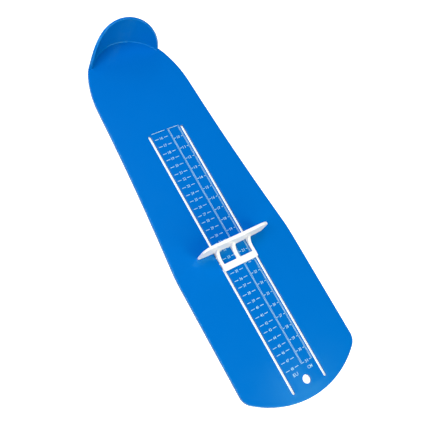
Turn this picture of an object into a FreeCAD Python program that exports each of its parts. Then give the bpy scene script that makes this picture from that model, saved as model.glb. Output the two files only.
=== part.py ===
import FreeCAD, Part

import math
import os

# A child's foot measuring gauge: a moulded plate with a heel cup, and a toe stop that slides
# along it in two slots. Lengths are in millimetres and angles in degrees.
# X runs across the plate, Y from the toe end (low) to the heel end (high), and Z goes up from
# the table that the plate lies on. The origin is below the middle of the plate, on the table.
# A place along the plate is given as its station: the distance from the inner back of the heel
# cup towards the toe, which is what the scale on the plate reads.

# Plate outline, seen from above: the arcs follow each other from the back of the heel
heel_radius = 40.7
ball_heading = 22.6
ball_radius = 92.5
waist_heading = 2.25
flare_radius = 2370.0
flare_heading = 5.8
shoulder_radius = 150.0
corner_radius = 12.0
toe_radius = 82.2
toe_tip_station = 335.8

# Plate section
plate_height = 3.0
deck_thickness = 1.8
skirt_thickness = 1.8
top_edge_radius = 0.8
foot_edge_radius = 0.35

# Heel cup: the wall stands on the heel arc, and its rim falls to the plate in a curve
cup_wall_base = 2.8
cup_wall_rim = 2.2
cup_height = 32.4
cup_end_station = 16.0
cup_rim_curve_radius = 49.9
cup_rim_edge_radius = 0.8
cup_base_fillet = 1.0

# Slots that guide the toe stop, and the low ridge that the scale is printed on
slot_offset = 15.84
slot_width = 2.6
slot_start_station = 90.8
slot_end_station = 327.2
ridge_height = 0.3

# Hanging hole
hole_radius = 3.6
hole_station = 322.0

# Toe stop: an upright blade on a flat frame with two windows
stop_reading = 200.0
stop_lift = 0.15
blade_width = 62.8
blade_height = 20.6
blade_middle_thickness = 2.75
blade_end_thickness = 1.9
blade_corner_radius = 9.0
blade_edge_radius = 0.5
frame_thickness = 1.3
frame_width = 33.1
frame_length = 19.65
frame_corner_radius = 1.2
outer_rail_width = 2.45
middle_rail_width = 3.0
crossbar_length = 5.5
window_corner_radius = 0.8
gusset_radius = 7.5

# Under the frame: a tongue that fits the slot, between two snap hooks on each side
slide_clearance = 0.2
tongue_start = 7.0
tongue_length = 4.6
tongue_width = 1.7
hook_starts = (1.6, 12.6)
hook_length = 4.2
hook_leg_thickness = 1.1
hook_leg_inset = 0.4
hook_overhang = 1.4
hook_lip_thickness = 0.75
hook_undercut = 0.2

# Worked out from the sizes above
heel_centre_station = heel_radius - cup_wall_base
back_station = -cup_wall_base
middle_station = (back_station + toe_tip_station) / 2
recess_height = plate_height - deck_thickness
stop_bottom = plate_height + ridge_height + stop_lift
rim_steps = 12
quarter_turn = 90.0
tolerance = 1e-4
UP = FreeCAD.Vector(0, 0, 1)


def point(x, station, z=0.0):
    """A point of the object, from its place across, its station and its height."""
    return FreeCAD.Vector(x, middle_station - station, z)


def box(x_low, x_high, station_low, station_high, z_low, z_high):
    """A block between two places across, two stations and two heights."""
    corner = point(x_low, station_high, z_low)
    return Part.makeBox(x_high - x_low, station_high - station_low, z_high - z_low, corner)


def mirrored(shape):
    """The same shape on the other side of the centre line."""
    return shape.mirror(FreeCAD.Vector(0, 0, 0), FreeCAD.Vector(1, 0, 0))


def follow_arc(start, heading, radius, turn, outward):
    """An arc that leaves start at a heading from the plate's length, and where it ends.

    The arc turns from heading by turn degrees: towards the centre line, or outward.
    """
    side = -1 if outward else 1
    final = heading - side * turn

    centre_x = start[0] - side * radius * math.cos(math.radians(heading))
    centre_station = start[1] + side * radius * math.sin(math.radians(heading))

    def along(angle):
        x = centre_x + side * radius * math.cos(math.radians(angle))
        station = centre_station - side * radius * math.sin(math.radians(angle))
        return (x, station)

    middle = along((heading + final) / 2)
    end = along(final)
    arc = Part.Arc(point(*start), point(*middle), point(*end)).toShape()
    return arc, end


def outline_face():
    """The plate's outline as a face on the table."""
    heading = quarter_turn
    place = (0.0, back_station)
    edges = []
    steps = (
        (heel_radius, ball_heading, False),
        (ball_radius, waist_heading, False),
        (flare_radius, flare_heading, True),
        (shoulder_radius, 0.0, False),
    )
    for radius, next_heading, outward in steps:
        arc, place = follow_arc(place, heading, radius, abs(heading - next_heading), outward)
        edges.append(arc)
        heading = next_heading
    half_width, straight_start = place
    toe_centre_station = toe_tip_station - toe_radius
    corner_x = half_width - corner_radius
    corner_run = math.sqrt((toe_radius - corner_radius) ** 2 - corner_x ** 2)
    corner_turn = math.degrees(math.atan2(corner_run, corner_x))
    straight_end = (half_width, toe_centre_station + corner_run)
    edges.append(Part.LineSegment(point(half_width, straight_start), point(*straight_end)).toShape())
    corner, place = follow_arc(straight_end, 0.0, corner_radius, corner_turn, False)
    toe, place = follow_arc(place, -corner_turn, toe_radius, quarter_turn - corner_turn, False)
    edges += [corner, toe]
    half = Part.Wire(edges)
    whole = Part.Wire(edges + [mirrored(edge) for edge in reversed(half.Edges)])
    return Part.Face(whole)


def edges_at(shape, height):
    """The edges of a shape that lie flat at one height."""
    found = []
    for edge in shape.Edges:
        low, high = edge.BoundBox.ZMin, edge.BoundBox.ZMax
        if abs(low - height) < tolerance and abs(high - height) < tolerance:
            found.append(edge)
    return found


def toe_side_corners(block, end):
    """The upright edges at the toe end of a block, which ends at a station."""
    found = []
    for edge in block.Edges:
        upright = edge.BoundBox.ZLength > edge.BoundBox.XLength + edge.BoundBox.YLength
        if upright and abs(edge.BoundBox.YMin - point(0, end).y) < tolerance:
            found.append(edge)
    return found


def plate_blank():
    """The plate with its rounded edges, hollow below inside a skirt."""
    face = outline_face()
    blank = face.extrude(UP * plate_height)
    blank = blank.makeFillet(top_edge_radius, edges_at(blank, plate_height))
    blank = blank.makeFillet(foot_edge_radius, edges_at(blank, 0.0))
    recess = face.makeOffset2D(-skirt_thickness).extrude(UP * recess_height)
    return blank.cut(recess)


def rim_curve_centre():
    """Centre of the arc that the rim follows, seen from the side, as a station and a height.

    The arc passes over the back of the wall at the cup's height, and it meets the plate's top at
    the station where the cup ends.
    """
    run = cup_end_station - back_station
    chord = math.hypot(run, cup_height)
    sagitta_side = math.sqrt(cup_rim_curve_radius ** 2 - (chord / 2) ** 2)
    station = back_station + run / 2 - sagitta_side * cup_height / chord
    height = plate_height + cup_height / 2 - sagitta_side * run / chord
    return station, height


def rim_line(radius):
    """The rim all round the wall, drawn at one distance from the heel's centre.

    The rim is level across the wall, so every distance has the same heights. The arc is followed
    from the back of the wall down to the table, in steps that grow with the square of the count.
    """
    centre_station, centre_height = rim_curve_centre()
    first = math.asin((plate_height + cup_height - centre_height) / cup_rim_curve_radius)
    last = math.asin(-centre_height / cup_rim_curve_radius)
    places = []
    for step in range(-rim_steps, rim_steps + 1):
        turn = first + (last - first) * (step / rim_steps) ** 2
        station = centre_station + cup_rim_curve_radius * math.cos(turn)
        height = centre_height + cup_rim_curve_radius * math.sin(turn)
        reach = min(1.0, (heel_centre_station - station) / heel_radius)
        angle = math.copysign(math.acos(reach), step)
        x = radius * math.sin(angle)
        places.append(point(x, heel_centre_station - radius * math.cos(angle), height))
    line = Part.BSplineCurve()
    line.interpolate(places)
    return line.toShape()


def cup_wall():
    """The heel cup's wall: a turned ring, kept where it is lower than its level-topped rim."""
    inner_base = heel_radius - cup_wall_base
    inner_rim = heel_radius - cup_wall_rim
    foot = recess_height
    top = plate_height + cup_height + cup_wall_rim
    fillet_top = plate_height + cup_base_fillet
    fillet_side = cup_base_fillet * (1 - math.sqrt(0.5))
    corners = [
        FreeCAD.Vector(inner_base, 0, fillet_top),
        FreeCAD.Vector(inner_rim, 0, top),
        FreeCAD.Vector(heel_radius, 0, top),
        FreeCAD.Vector(heel_radius, 0, foot),
        FreeCAD.Vector(inner_base - cup_base_fillet, 0, foot),
        FreeCAD.Vector(inner_base - cup_base_fillet, 0, plate_height),
    ]
    fillet_middle = FreeCAD.Vector(inner_base - fillet_side, 0, plate_height + fillet_side)
    edges = [Part.LineSegment(a, b).toShape() for a, b in zip(corners, corners[1:])]
    edges.append(Part.Arc(corners[-1], fillet_middle, corners[0]).toShape())
    ring = Part.Face(Part.Wire(edges)).revolve(FreeCAD.Vector(0, 0, 0), UP, 360)
    ring.translate(point(0, heel_centre_station))
    inside = rim_line(inner_base - 2 * cup_base_fillet)
    outside = rim_line(heel_radius + cup_wall_base)
    below_rim = Part.makeRuledSurface(inside, outside).extrude(UP * -top)
    wall = ring.common(below_rim)
    rim_edges = [edge for edge in wall.Edges if is_rim_edge(edge)]
    return wall.makeFillet(cup_rim_edge_radius, rim_edges)


def is_rim_edge(edge):
    """True for the two long edges of the cup's rim, inside and outside."""
    reaches_top = edge.BoundBox.ZMax > plate_height + cup_height - cup_wall_base
    is_long = edge.Length > cup_height
    middle = edge.valueAt(sum(edge.ParameterRange) / 2)
    on_centre_line = abs(middle.x) < cup_wall_rim
    return reaches_top and is_long and on_centre_line


def scale_ridge():
    """The low ridge between the slots: two long facets that meet on the centre line."""
    half_width = slot_offset - slot_width / 2
    corners = [
        point(-half_width, slot_start_station, plate_height),
        point(0, slot_start_station, plate_height + ridge_height),
        point(half_width, slot_start_station, plate_height),
    ]
    section = Part.Face(Part.makePolygon(corners + corners[:1]))
    return section.extrude(FreeCAD.Vector(0, slot_start_station - slot_end_station, 0))


def slot_cutter():
    """The space of the right-hand slot, with round ends."""
    radius = slot_width / 2
    start = slot_start_station + radius
    end = slot_end_station - radius
    height = plate_height + ridge_height
    cutter = box(slot_offset - radius, slot_offset + radius, start, end, 0, height)
    for station in (start, end):
        cutter = cutter.fuse(Part.makeCylinder(radius, height, point(slot_offset, station)))
    return cutter.removeSplitter()


def base_plate():
    """The plate with its cup, ridge, slots and hanging hole, as one moulding."""
    hole = Part.makeCylinder(hole_radius, plate_height + ridge_height, point(0, hole_station))
    body = plate_blank().multiFuse([cup_wall(), scale_ridge()])
    slot = slot_cutter()
    return body.cut([slot, mirrored(slot), hole]).removeSplitter()


def blade():
    """The upright blade: straight towards the heel, bowed towards the toe, round at the top."""
    half_width = blade_width / 2
    top = stop_bottom + blade_height
    left = point(-half_width, stop_reading, stop_bottom)
    right = point(half_width, stop_reading, stop_bottom)
    right_toe = point(half_width, stop_reading + blade_end_thickness, stop_bottom)
    left_toe = point(-half_width, stop_reading + blade_end_thickness, stop_bottom)
    bow = point(0, stop_reading + blade_middle_thickness, stop_bottom)
    plan = Part.Wire([
        Part.LineSegment(left_toe, left).toShape(),
        Part.LineSegment(left, right).toShape(),
        Part.LineSegment(right, right_toe).toShape(),
        Part.Arc(right_toe, bow, left_toe).toShape(),
    ])
    body = Part.Face(plan).extrude(UP * blade_height)
    top_edges = edges_at(body, top)
    top_corners = [edge for edge in top_edges if edge.BoundBox.XLength < tolerance]
    body = body.makeFillet(blade_corner_radius, top_corners)
    rim = [edge for edge in body.Edges if runs_over_blade(edge)]
    return body.makeFillet(blade_edge_radius, rim)


def runs_over_blade(edge):
    """True for the edges of the blade's faces that aren't at its foot."""
    box_of_edge = edge.BoundBox
    above_foot = box_of_edge.ZMax > stop_bottom + blade_edge_radius
    along_face = box_of_edge.YLength < blade_middle_thickness / 2
    return above_foot and along_face


def stop_frame():
    """The flat frame on the toe side of the blade, with a window over each column of figures."""
    start = stop_reading + blade_end_thickness / 2
    end = stop_reading + frame_length
    top = stop_bottom + frame_thickness
    half_width = frame_width / 2
    plate = box(-half_width, half_width, start, end, stop_bottom, top)
    plate = plate.makeFillet(frame_corner_radius, toe_side_corners(plate, end))
    window_low = middle_rail_width / 2
    window_high = half_width - outer_rail_width
    window_end = end - crossbar_length
    window = box(window_low, window_high, start, window_end, stop_bottom, top)
    window = window.makeFillet(window_corner_radius, toe_side_corners(window, window_end))
    return plate.cut([window, mirrored(window)])


def gusset(x_low, x_high):
    """A rib that curves from a rail up the toe side of the blade."""
    face_station = stop_reading + blade_end_thickness / 2
    toe_face = stop_reading + blade_middle_thickness
    rail_top = stop_bottom + frame_thickness
    tall = rail_top + gusset_radius
    far = toe_face + gusset_radius
    inward = gusset_radius * (1 - math.sqrt(0.5))
    foot = point(x_low, face_station, stop_bottom)
    crown = point(x_low, face_station, tall)
    curve_top = point(x_low, toe_face, tall)
    curve_middle = point(x_low, toe_face + inward, rail_top + inward)
    curve_end = point(x_low, far, rail_top)
    heel_of_rail = point(x_low, far, stop_bottom)
    profile = Part.Wire([
        Part.LineSegment(foot, crown).toShape(),
        Part.LineSegment(crown, curve_top).toShape(),
        Part.Arc(curve_top, curve_middle, curve_end).toShape(),
        Part.LineSegment(curve_end, heel_of_rail).toShape(),
        Part.LineSegment(heel_of_rail, foot).toShape(),
    ])
    return Part.Face(profile).extrude(FreeCAD.Vector(x_high - x_low, 0, 0))


def slot_tongue():
    """The tongue that guides the right-hand rail in its slot."""
    inner = slot_offset - slot_width / 2 + slide_clearance
    start = stop_reading + tongue_start
    return box(inner, inner + tongue_width, start, start + tongue_length, recess_height, stop_bottom)


def snap_hook(start_offset):
    """A springy leg through the right-hand slot, with a lip that hooks under the plate."""
    inner = slot_offset - slot_width / 2 + slide_clearance + hook_leg_inset
    outer = inner + hook_leg_thickness
    start = stop_reading + start_offset
    end = start + hook_length
    lip_top = recess_height - hook_undercut
    lip_bottom = lip_top - hook_lip_thickness
    leg = box(inner, outer, start, end, lip_bottom, stop_bottom)
    corners = [
        point(outer, start, lip_bottom),
        point(outer + hook_overhang / 2, start, lip_bottom),
        point(outer + hook_overhang, start, lip_top - hook_lip_thickness / 3),
        point(outer + hook_overhang, start, lip_top),
        point(outer, start, lip_top),
    ]
    lip = Part.Face(Part.makePolygon(corners + corners[:1])).extrude(FreeCAD.Vector(0, start - end, 0))
    return leg.fuse(lip)


def toe_stop():
    """The sliding toe stop, as one moulding."""
    half_width = frame_width / 2
    rails = [
        (-half_width, -half_width + outer_rail_width),
        (-middle_rail_width / 2, middle_rail_width / 2),
        (half_width - outer_rail_width, half_width),
    ]
    below = [slot_tongue()] + [snap_hook(offset) for offset in hook_starts]
    pieces = [stop_frame()]
    pieces += [gusset(low, high) for low, high in rails]
    pieces += below
    pieces += [mirrored(piece) for piece in below]
    return blade().multiFuse(pieces).removeSplitter()


def main():
    """Build each moulding and write it as its own file."""
    os.makedirs("parts", exist_ok=True)
    nodes = {
        "base_plate": base_plate(),
        "toe_stop": toe_stop(),
    }
    for name, shape in nodes.items():
        solids = shape.Solids
        shape = solids[0] if len(solids) == 1 else shape
        shape.exportStep(os.path.join("parts", name + ".step"))
        bounds = shape.BoundBox
        print(name, "solids", len(solids), "valid", shape.isValid(), "volume", round(shape.Volume, 1))
        print("  x", round(bounds.XMin, 3), round(bounds.XMax, 3), "y", round(bounds.YMin, 3),
              round(bounds.YMax, 3), "z", round(bounds.ZMin, 3), round(bounds.ZMax, 3))


main()
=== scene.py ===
"""A child's foot measuring gauge: the looks of its plate, its toe stop and its printed scale.

Lengths in the classes are millimetres. X runs across the plate, Y towards the heel cup and Z up.
A place along the scale is a station: the distance from the inner back of the heel cup.
"""
import logging
import math
from dataclasses import dataclass
from enum import Enum

import bpy
from mathutils import Matrix, Vector


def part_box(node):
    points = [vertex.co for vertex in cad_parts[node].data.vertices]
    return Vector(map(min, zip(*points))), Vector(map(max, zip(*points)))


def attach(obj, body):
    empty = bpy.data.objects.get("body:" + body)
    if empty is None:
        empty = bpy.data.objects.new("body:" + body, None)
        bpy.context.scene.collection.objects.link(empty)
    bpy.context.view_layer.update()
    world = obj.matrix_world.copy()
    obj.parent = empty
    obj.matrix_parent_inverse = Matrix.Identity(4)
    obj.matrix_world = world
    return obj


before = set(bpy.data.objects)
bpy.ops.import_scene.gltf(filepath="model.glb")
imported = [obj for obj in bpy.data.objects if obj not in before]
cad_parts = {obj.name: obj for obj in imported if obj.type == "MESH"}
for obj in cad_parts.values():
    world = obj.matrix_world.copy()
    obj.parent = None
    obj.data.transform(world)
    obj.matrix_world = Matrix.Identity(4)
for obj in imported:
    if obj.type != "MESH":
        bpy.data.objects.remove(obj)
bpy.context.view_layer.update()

LOG = logging.getLogger("foot_gauge")
MM = 0.001
MM_PER_CM = 10

# The sRGB curve: a straight toe, and a power above it
SRGB_TOE_END = 0.04045
SRGB_TOE_SLOPE = 12.92
SRGB_OFFSET = 0.055
SRGB_SCALE = 1.055
SRGB_POWER = 2.4

# The sockets that a Mix node uses for colours
MIX_FACTOR, MIX_A, MIX_B = 0, 6, 7
MIX_RESULT = 2


class Facet(Enum):
    """The two long facets of the scale's ridge, by the side of the crest that they fall to."""

    LEFT = -1
    RIGHT = 1


class Reading(Enum):
    """What a column of the scale is read in, as the letters at its foot."""

    EUROPEAN = "EU"
    CENTIMETRES = "CM"


def linear(code: str) -> tuple[float, float, float, float]:
    """Turns an sRGB hex colour into linear light.

    Args:
        code: six hex digits, such as "1e78d2".

    Returns:
        Red, green, blue and an alpha of 1.
    """
    channels = []
    for start in (0, 2, 4):
        value = int(code[start:start + 2], 16) / 255
        toe = value / SRGB_TOE_SLOPE
        curve = ((value + SRGB_OFFSET) / SRGB_SCALE) ** SRGB_POWER
        channels.append(toe if value <= SRGB_TOE_END else curve)
    return (channels[0], channels[1], channels[2], 1.0)


def add_node(tree: bpy.types.NodeTree, kind: str, settings: dict, inputs: dict) -> bpy.types.Node:
    """Adds a node with its settings and links.

    Args:
        tree: the node tree that it goes into.
        kind: the node's type name.
        settings: attributes of the node.
        inputs: names or numbers of inputs, each with a value or with the socket that feeds it.

    Returns:
        The new node.
    """
    node = tree.nodes.new(kind)
    for name, value in settings.items():
        setattr(node, name, value)
    for name, value in inputs.items():
        if isinstance(value, bpy.types.NodeSocket):
            tree.links.new(value, node.inputs[name])
        else:
            node.inputs[name].default_value = value
    return node


@dataclass(frozen=True)
class MouldedPlastic:
    """Injection moulded ABS: pigmented all through, with the faint grain of the steel mould.

    A range is the stretch of a noise's values over which its pattern turns from one end to the
    other.
    """

    name: str
    colour: str
    clouded_colour: str
    roughness: float
    dull_roughness: float
    gloss: float
    sheen: str
    cloud_size: float = 55.0
    dull_patch_size: float = 14.0
    dull_patch_range: tuple[float, float] = (0.35, 0.65)
    grain_size: float = 0.9
    grain_height: float = 0.004
    ior: float = 1.53

    def material(self) -> bpy.types.Material:
        """Builds the material.

        Returns:
            A material with slow drifts of pigment and gloss and a fine moulded grain.
        """
        made = bpy.data.materials.new(self.name)
        made.use_nodes = True
        tree = made.node_tree
        shader = tree.nodes["Principled BSDF"]
        place = add_node(tree, "ShaderNodeTexCoord", {}, {}).outputs["Object"]
        # The melt's flow leaves clouds a few centimetres wide, a shade lighter than the rest
        cloud = add_node(tree, "ShaderNodeTexNoise", {}, {
            "Vector": place, "Scale": 1 / (self.cloud_size * MM), "Detail": 2.0, "Roughness": 0.4,
        })
        pigment = add_node(tree, "ShaderNodeMix", {"data_type": "RGBA"}, {
            MIX_FACTOR: cloud.outputs["Fac"],
            MIX_A: linear(self.colour), MIX_B: linear(self.clouded_colour),
        })
        # Handling dulls the gloss in patches
        patch = add_node(tree, "ShaderNodeTexNoise", {}, {
            "Vector": place, "Scale": 1 / (self.dull_patch_size * MM), "Detail": 3.0,
        })
        gloss = add_node(tree, "ShaderNodeMapRange", {}, {
            "Value": patch.outputs["Fac"],
            "From Min": self.dull_patch_range[0], "From Max": self.dull_patch_range[1],
            "To Min": self.roughness, "To Max": self.dull_roughness,
        })
        # The mould's grain is about 0.1 mm across, and is drawn coarser to show at all
        grain = add_node(tree, "ShaderNodeTexNoise", {}, {
            "Vector": place, "Scale": 1 / (self.grain_size * MM), "Detail": 2.0,
        })
        bump = add_node(tree, "ShaderNodeBump", {}, {
            "Height": grain.outputs["Fac"], "Distance": self.grain_height * MM, "Strength": 1.0,
        })
        tree.links.new(pigment.outputs[MIX_RESULT], shader.inputs["Base Color"])
        tree.links.new(gloss.outputs["Result"], shader.inputs["Roughness"])
        tree.links.new(bump.outputs["Normal"], shader.inputs["Normal"])
        shader.inputs["IOR"].default_value = self.ior
        shader.inputs["Specular IOR Level"].default_value = self.gloss
        shader.inputs["Specular Tint"].default_value = linear(self.sheen)
        return made


@dataclass(frozen=True)
class PadPrintInk:
    """Two-part pad-printing ink: a thin, silky film that lets a little of the blue through."""

    name: str
    colour: str
    thin_colour: str
    roughness: float
    thin_patch_size: float = 1.6
    thin_patch_range: tuple[float, float] = (0.35, 0.7)
    unevenness: float = 0.004
    ior: float = 1.48

    def material(self) -> bpy.types.Material:
        """Builds the material.

        Returns:
            A material for a film that is a shade bluer where it is thinner.
        """
        made = bpy.data.materials.new(self.name)
        made.use_nodes = True
        tree = made.node_tree
        shader = tree.nodes["Principled BSDF"]
        place = add_node(tree, "ShaderNodeTexCoord", {}, {}).outputs["Object"]
        film = add_node(tree, "ShaderNodeTexNoise", {}, {
            "Vector": place, "Scale": 1 / (self.thin_patch_size * MM), "Detail": 3.0,
        })
        cover = add_node(tree, "ShaderNodeMapRange", {}, {
            "Value": film.outputs["Fac"],
            "From Min": self.thin_patch_range[0], "From Max": self.thin_patch_range[1],
        })
        colour = add_node(tree, "ShaderNodeMix", {"data_type": "RGBA"}, {
            MIX_FACTOR: cover.outputs["Result"],
            MIX_A: linear(self.colour), MIX_B: linear(self.thin_colour),
        })
        bump = add_node(tree, "ShaderNodeBump", {}, {
            "Height": film.outputs["Fac"], "Distance": self.unevenness * MM, "Strength": 1.0,
        })
        tree.links.new(colour.outputs[MIX_RESULT], shader.inputs["Base Color"])
        tree.links.new(bump.outputs["Normal"], shader.inputs["Normal"])
        shader.inputs["Roughness"].default_value = self.roughness
        shader.inputs["IOR"].default_value = self.ior
        return made


@dataclass(frozen=True)
class StudioPaper:
    """Seamless white paper with a glow of its own, which keeps it pale in the gauge's slots."""

    name: str
    colour: str
    glow: float
    roughness: float = 0.9
    fibre_size: float = 3.0
    fibre_height: float = 0.02
    fibre_strength: float = 0.5

    def material(self) -> bpy.types.Material:
        """Builds the material.

        Returns:
            A matt pale material with faint fibres and a glow.
        """
        made = bpy.data.materials.new(self.name)
        made.use_nodes = True
        tree = made.node_tree
        shader = tree.nodes["Principled BSDF"]
        place = add_node(tree, "ShaderNodeTexCoord", {}, {}).outputs["Object"]
        fibre = add_node(tree, "ShaderNodeTexNoise", {}, {
            "Vector": place, "Scale": 1 / (self.fibre_size * MM), "Detail": 4.0,
        })
        bump = add_node(tree, "ShaderNodeBump", {}, {
            "Height": fibre.outputs["Fac"], "Distance": self.fibre_height * MM,
            "Strength": self.fibre_strength,
        })
        tree.links.new(bump.outputs["Normal"], shader.inputs["Normal"])
        shader.inputs["Base Color"].default_value = linear(self.colour)
        shader.inputs["Roughness"].default_value = self.roughness
        shader.inputs["Emission Color"].default_value = linear(self.colour)
        shader.inputs["Emission Strength"].default_value = self.glow
        return made


BLUE_ABS = MouldedPlastic(
    name="blue_moulded_abs", colour="006bc4", clouded_colour="006dc5",
    roughness=0.14, dull_roughness=0.18, gloss=0.32, sheen="97ffe1")
WHITE_ABS = MouldedPlastic(
    name="white_moulded_abs", colour="f3f3f8", clouded_colour="f0f0f6",
    roughness=0.30, dull_roughness=0.36, gloss=0.4, sheen="ffffff")
WHITE_INK = PadPrintInk(
    name="white_pad_print_ink", colour="b4dbea", thin_colour="8ac6de", roughness=0.5)
PAPER = StudioPaper(name="white_studio_paper", colour="fcfdf8", glow=0.75)


def select_only(piece: bpy.types.Object) -> None:
    """Makes one object the active and only selected one.

    Args:
        piece: the object.
    """
    bpy.ops.object.select_all(action="DESELECT")
    piece.select_set(True)
    bpy.context.view_layer.objects.active = piece


def bake_place(piece: bpy.types.Object) -> None:
    """Moves an object's place, turn and scale into its mesh.

    Args:
        piece: the object, which ends at the origin.
    """
    select_only(piece)
    bpy.ops.object.transform_apply(location=True, rotation=True, scale=True)


def joined(pieces: list[bpy.types.Object], name: str) -> bpy.types.Object:
    """Joins meshes into one object.

    Args:
        pieces: the objects, which go into the first.
        name: the name of the result.

    Returns:
        The joined object.
    """
    select_only(pieces[0])
    for piece in pieces:
        piece.select_set(True)
    bpy.ops.object.join()
    whole = bpy.context.object
    whole.name = name
    whole.data.name = name
    return whole


@dataclass
class RidgeFacets:
    """The low ridge that carries the print: two facets that fall from a crest to the slots."""

    deck_top: float = 3.0
    rise: float = 0.3
    half_width: float = 14.54
    wall_behind_heel: float = 2.8

    def y_of(self, station: float) -> float:
        """Finds a station's Y from the plate's own heel end.

        Args:
            station: the station.

        Returns:
            Its Y, in millimetres.
        """
        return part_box("base_plate")[1].y / MM - self.wall_behind_heel - station

    def lay(self, piece: bpy.types.Object, facet: Facet) -> None:
        """Lays a print that was made flat on the ridge, with the crest at X = 0, onto a facet.

        Args:
            piece: the print, with Z = 0 as the facet's surface.
            facet: the facet that it is printed on.
        """
        piece.location.z += (self.deck_top + self.rise) * MM
        piece.rotation_euler.y = facet.value * math.atan2(self.rise, self.half_width)
        bake_place(piece)


@dataclass
class InkFilm:
    """The film that every mark is made of: how thick it is and how its marks are drawn."""

    ridge: RidgeFacets
    above: float = 0.04
    below: float = 0.06
    corner: float = 0.08
    corner_steps: int = 2
    curve_steps: int = 2
    figure_height: float = 2.3
    figure_width: float = 2.6
    figure_weight: float = 0.015
    letter_height: float = 2.6
    letter_width: float = 4.4

    def bar(self, low_x: float, high_x: float, station: float, width: float) -> bpy.types.Object:
        """Draws a straight mark across the scale.

        Args:
            low_x: where the mark starts across the plate.
            high_x: where it ends.
            station: the station of its centre line.
            width: its width along the plate.

        Returns:
            The mark, flat, with rounded corners.
        """
        bpy.ops.object.select_all(action="DESELECT")
        bpy.ops.mesh.primitive_plane_add(size=1.0, location=(0.0, 0.0, 0.0))
        mark = bpy.context.object
        mark.scale = ((high_x - low_x) * MM, width * MM, 1.0)
        mark.location = ((low_x + high_x) / 2 * MM, self.ridge.y_of(station) * MM, -self.below * MM)
        bake_place(mark)
        bpy.ops.object.mode_set(mode="EDIT")
        bpy.ops.mesh.select_all(action="SELECT")
        bpy.ops.mesh.bevel(
            affect="VERTICES", offset=self.corner * MM, segments=self.corner_steps)
        bpy.ops.mesh.select_all(action="SELECT")
        lift = (0.0, 0.0, (self.above + self.below) * MM)
        bpy.ops.mesh.extrude_region_move(TRANSFORM_OT_translate={"value": lift})
        bpy.ops.mesh.select_all(action="SELECT")
        bpy.ops.mesh.normals_make_consistent(inside=False)
        bpy.ops.object.mode_set(mode="OBJECT")
        return mark

    def repeated(self, mark: bpy.types.Object, count: int, spacing: float) -> bpy.types.Object:
        """Repeats a mark towards the toe.

        Args:
            mark: the first mark.
            count: how many there are in all.
            spacing: the distance from one to the next.

        Returns:
            The same object, with all the marks in its mesh.
        """
        select_only(mark)
        array = mark.modifiers.new("every_mark", "ARRAY")
        array.use_relative_offset = False
        array.use_constant_offset = True
        array.constant_offset_displace = (0.0, -spacing * MM, 0.0)
        array.count = count
        bpy.ops.object.modifier_apply(modifier=array.name)
        return mark

    def copies(self, mark: bpy.types.Object, stations: list[float]) -> list[bpy.types.Object]:
        """Copies a mark to more stations.

        Args:
            mark: the mark at the first of the stations.
            stations: the stations, the mark's own first.

        Returns:
            All the marks, each with its own mesh.
        """
        marks = [mark]
        for station in stations[1:]:
            twin = mark.copy()
            twin.data = mark.data.copy()
            bpy.context.collection.objects.link(twin)
            twin.location.y = (stations[0] - station) * MM
            bake_place(twin)
            marks.append(twin)
        return marks

    def lettering(
            self, text: str, x: float, station: float, height: float,
            width: float) -> bpy.types.Object:
        """Prints figures or letters.

        Args:
            text: what is printed.
            x: the middle of the text across the plate.
            station: the middle of the text along the plate.
            height: the height of its figures.
            width: the width of the whole text.

        Returns:
            The text as a mesh, flat, read from the toe end.
        """
        bpy.ops.object.select_all(action="DESELECT")
        bpy.ops.object.text_add(location=(0.0, 0.0, 0.0))
        label = bpy.context.object
        label.data.body = text
        label.data.resolution_u = self.curve_steps
        label.data.offset = self.figure_weight / height
        # Half a unit each way, so that its scale along Z is its thickness
        label.data.extrude = 0.5
        bpy.ops.object.convert(target="MESH")
        label = bpy.context.object
        corners = [Vector(corner) for corner in label.bound_box]
        low = Vector(min(corner[axis] for corner in corners) for axis in range(3))
        high = Vector(max(corner[axis] for corner in corners) for axis in range(3))
        size = high - low
        middle = (low + high) / 2
        tall = height * MM / size.y
        wide = width * MM / size.x
        thick = (self.above + self.below) * MM
        label.scale = (wide, tall, thick)
        label.location = (
            x * MM - middle.x * wide,
            self.ridge.y_of(station) * MM - middle.y * tall,
            (self.above - self.below) * MM / 2 - middle.z * thick,
        )
        bake_place(label)
        return label


@dataclass
class ScaleColumn:
    """What the two columns of the scale share: their facet, their figures and their finish."""

    film: InkFilm
    facet: Facet
    reading: Reading
    figures_x: float
    letters_x: float
    letters_station: float = 315.0
    start_station: float = 90.0
    rule_width: float = 0.45

    def finish(self, piece: bpy.types.Object, ink: bpy.types.Material) -> bpy.types.Object:
        """Lays a print on the ridge and dresses it.

        Args:
            piece: the print, made flat.
            ink: its material.

        Returns:
            The same object, riding on the plate.
        """
        self.film.ridge.lay(piece, self.facet)
        piece.data.materials.clear()
        piece.data.materials.append(ink)
        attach(piece, "plate")
        LOG.info("printed %s: %d faces", piece.name, len(piece.data.polygons))
        return piece

    def figures(self, labels: dict[int, float], ink: bpy.types.Material) -> bpy.types.Object:
        """Prints the column's figures.

        Args:
            labels: each figure with its station.
            ink: the material.

        Returns:
            All the figures as one object.
        """
        film = self.film
        signs = []
        for number, station in labels.items():
            signs.append(film.lettering(
                str(number), self.figures_x, station, film.figure_height, film.figure_width))
        return self.finish(joined(signs, self.reading.value.lower() + "_figures"), ink)

    def letters(self, ink: bpy.types.Material) -> bpy.types.Object:
        """Prints the letters at the foot of the column.

        Args:
            ink: the material.

        Returns:
            The letters.
        """
        film = self.film
        sign = film.lettering(
            self.reading.value, self.letters_x, self.letters_station,
            film.letter_height, film.letter_width)
        sign.name = self.reading.value.lower() + "_letters"
        return self.finish(sign, ink)


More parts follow.
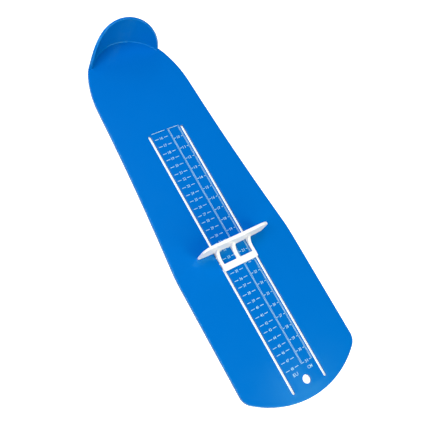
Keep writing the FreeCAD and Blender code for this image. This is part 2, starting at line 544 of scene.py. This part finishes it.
@dataclass
class EuropeanColumn(ScaleColumn):
    """European sizes: a figure between two dashes, one and a half sizes to the centimetre."""

    first_size: int = 16
    last_size: int = 48
    dash_width: float = 0.46
    left_dash: tuple[float, float] = (-13.0, -9.4)
    right_dash: tuple[float, float] = (-4.2, -0.7)
    sizes_per_cm: float = 1.5
    room_in_shoe_cm: float = 1.0

    def station_of(self, size: int) -> float:
        """Finds where a size is printed, from the length of the foot that it fits.

        Args:
            size: the European size.

        Returns:
            Its station, a whole number of millimetres.
        """
        foot_cm = size / self.sizes_per_cm - self.room_in_shoe_cm
        return float(math.floor(foot_cm * MM_PER_CM))

    def build(self, ink: bpy.types.Material) -> None:
        """Prints the column.

        Args:
            ink: the material.
        """
        sizes = range(self.first_size, self.last_size + 1)
        labels = {size: self.station_of(size) for size in sizes}
        stations = list(labels.values())
        rule = self.film.bar(
            self.left_dash[0], self.right_dash[1], self.start_station, self.rule_width)
        dashes = [rule]
        for low, high in (self.left_dash, self.right_dash):
            dash = self.film.bar(low, high, stations[0], self.dash_width)
            dashes += self.film.copies(dash, stations)
        self.finish(joined(dashes, "eu_dashes"), ink)
        self.figures(labels, ink)
        self.letters(ink)


@dataclass
class CentimetreColumn(ScaleColumn):
    """Centimetres: two combs of millimetre marks, with the figures between them."""

    first_figure: int = 10
    last_figure: int = 31
    left_comb: tuple[float, float] = (1.86, 3.5)
    right_comb: tuple[float, float] = (12.0, 13.5)
    left_stub_end: float = 5.3
    right_stub_start: float = 10.4
    comb_spacing: float = 1.0
    millimetre_width: float = 0.42
    centimetre_width: float = 0.46

    def build(self, ink: bpy.types.Material) -> None:
        """Prints the column.

        Args:
            ink: the material.
        """
        film = self.film
        first, last = self.first_figure * MM_PER_CM, self.last_figure * MM_PER_CM
        count = int((last - self.start_station) / self.comb_spacing) + 1
        combs = []
        for low, high in (self.left_comb, self.right_comb):
            mark = film.bar(low, high, self.start_station, self.millimetre_width)
            combs.append(film.repeated(mark, count, self.comb_spacing))
        self.finish(joined(combs, "millimetre_combs"), ink)
        figures = range(self.first_figure, self.last_figure + 1)
        labels = {number: float(number * MM_PER_CM) for number in figures}
        rule = film.bar(
            self.left_comb[0], self.right_comb[1], self.start_station, self.rule_width)
        stubs = [rule]
        for low, high in (
            (self.left_comb[0], self.left_stub_end),
            (self.right_stub_start, self.right_comb[1]),
        ):
            stub = film.bar(low, high, first, self.centimetre_width)
            stubs.append(film.repeated(stub, len(labels), MM_PER_CM))
        self.finish(joined(stubs, "centimetre_marks"), ink)
        self.figures(labels, ink)
        self.letters(ink)


@dataclass
class Mouldings:
    """The two mouldings: the blue plate with its heel cup, and the white toe stop."""

    plate_node: str = "base_plate"
    stop_node: str = "toe_stop"

    def dress(self, node: str, material: bpy.types.Material) -> None:
        """Gives a moulding its material.

        Args:
            node: the moulding's name.
            material: its material.
        """
        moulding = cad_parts[node]
        moulding.data.materials.clear()
        moulding.data.materials.append(material)
        LOG.info("dressed %s in %s", node, material.name)

    def build(self) -> None:
        """Dresses both mouldings."""
        self.dress(self.plate_node, BLUE_ABS.material())
        self.dress(self.stop_node, WHITE_ABS.material())


@dataclass
class PrintedScale:
    """The whole print on the ridge, in one white ink."""

    def build(self) -> None:
        """Prints both columns."""
        film = InkFilm(RidgeFacets())
        ink = WHITE_INK.material()
        european = EuropeanColumn(
            film, Facet.LEFT, Reading.EUROPEAN, figures_x=-6.8, letters_x=-6.6)
        centimetres = CentimetreColumn(
            film, Facet.RIGHT, Reading.CENTIMETRES, figures_x=7.6, letters_x=7.8)
        european.build(ink)
        centimetres.build(ink)


@dataclass(frozen=True)
class Softbox:
    """A square soft light: its place and its side in millimetres, and its power in watts."""

    name: str
    place: tuple[float, float, float]
    side: float
    power: float
    colour: str

    def build(self, aim: tuple[float, float, float]) -> None:
        """Hangs the light.

        Args:
            aim: the point on the gauge that it looks at.
        """
        lamp = bpy.data.lights.new(self.name, "AREA")
        lamp.shape = "SQUARE"
        lamp.size = self.side * MM
        lamp.energy = self.power
        lamp.color = linear(self.colour)[:3]
        light = bpy.data.objects.new(self.name, lamp)
        bpy.context.scene.collection.objects.link(light)
        light.location = Vector(self.place) * MM
        direction = (Vector(aim) - Vector(self.place)).normalized()
        light.rotation_euler = direction.to_track_quat("-Z", "Y").to_euler()


# Wide boxes low down all round, a little warmer at the toe and cooler at the heel, and small
# ones overhead for the drift of tone along the plate and the sheen beside the hole
SOFTBOXES = (
    Softbox("back_left_softbox", (-690.0, 761.0, 379.0), 700.0, 3.2, "fff9ff"),
    Softbox("left_back_softbox", (-869.0, 226.0, 634.0), 700.0, 2.1, "fff9ff"),
    Softbox("high_left_softbox", (-777.0, -8.0, 781.0), 500.0, 4.6, "fffcff"),
    Softbox("toe_left_softbox", (-516.0, -903.0, 379.0), 700.0, 3.6, "fffcee"),
    Softbox("toe_right_softbox", (518.0, -903.0, 379.0), 700.0, 4.2, "fffcee"),
    Softbox("overhead_heel_softbox", (1.0, 230.0, 680.0), 300.0, 1.85, "dae5ff"),
    Softbox("overhead_toe_softbox", (160.0, -420.0, 540.0), 200.0, 1.15, "fff9cc"),
    Softbox("toe_softbox", (1.0, -1041.0, 379.0), 700.0, 2.1, "fffce0"),
    Softbox("low_left_softbox", (-1032.0, -8.0, 379.0), 700.0, 1.2, "fffcf4"),
    Softbox("high_toe_softbox", (380.0, -400.0, 900.0), 200.0, 0.8, "fffcf0"),
    Softbox("small_toe_softbox", (446.0, -208.0, 900.0), 60.0, 0.1, "fffcf0"),
    Softbox("low_heel_softbox", (350.0, 960.0, 379.0), 700.0, 2.4, "e8eeff"),
)


@dataclass
class Studio:
    """The pale paper, the soft lights, the tone beyond the paper and the camera."""

    floor_side: float = 6000.0
    floor_squares: int = 8
    floor_gap: float = 0.02
    aim: tuple[float, float, float] = (1.24, -7.58, 3.0)
    distance: float = 587.84
    azimuth: float = -155.98
    elevation: float = 60.44
    roll: float = 39.12
    focal_length: float = 60.56
    sensor: float = 36.0
    nearest_seen: float = 10.0
    farthest_seen: float = 20000.0

    def floor(self) -> None:
        """Lays the paper."""
        bpy.ops.object.select_all(action="DESELECT")
        bpy.ops.mesh.primitive_grid_add(
            x_subdivisions=self.floor_squares, y_subdivisions=self.floor_squares,
            size=self.floor_side * MM, location=(0.0, 0.0, -self.floor_gap * MM))
        paper = bpy.context.object
        paper.name = "studio_paper"
        bake_place(paper)
        paper.data.materials.append(PAPER.material())
        # The paper is seen and mirrored, but throws no light of its own onto the gauge
        paper.visible_diffuse = False

    def lights(self) -> None:
        """Hangs the soft lights."""
        for softbox in SOFTBOXES:
            softbox.build(self.aim)

    def room(self) -> None:
        """Shows the camera the paper's tone past its edge, where it lights nothing."""
        world = bpy.data.worlds.new("pale_room")
        bpy.context.scene.world = world
        world.use_nodes = True
        tone = world.node_tree.nodes["Background"]
        tone.inputs["Color"].default_value = linear(PAPER.colour)
        tone.inputs["Strength"].default_value = PAPER.glow
        world.cycles_visibility.diffuse = False
        world.cycles_visibility.glossy = False

    def camera(self) -> None:
        """Sets up the camera."""
        turn, lift = math.radians(self.azimuth), math.radians(self.elevation)
        outward = Vector((
            math.cos(lift) * math.cos(turn), math.cos(lift) * math.sin(turn), math.sin(lift)))
        lens = bpy.data.cameras.new("gauge_camera")
        lens.sensor_width = self.sensor
        lens.lens = self.focal_length
        lens.clip_start = self.nearest_seen * MM
        lens.clip_end = self.farthest_seen * MM
        camera = bpy.data.objects.new("gauge_camera", lens)
        bpy.context.scene.collection.objects.link(camera)
        upright = (-outward).to_track_quat("-Z", "Y").to_matrix().to_4x4()
        place = Matrix.Translation((Vector(self.aim) + outward * self.distance) * MM)
        camera.matrix_world = place @ upright @ Matrix.Rotation(math.radians(self.roll), 4, "Z")
        bpy.context.scene.camera = camera

    def build(self) -> None:
        """Builds the studio."""
        self.floor()
        self.lights()
        self.room()
        self.camera()
        bpy.context.scene.view_settings.view_transform = "Standard"
        LOG.info("studio ready")


def main() -> None:
    """Dresses the gauge, prints its scale and sets up the studio."""
    logging.basicConfig(level=logging.INFO, format="%(name)s: %(message)s")
    Mouldings().build()
    PrintedScale().build()
    Studio().build()


if __name__ == "__main__":
    main()
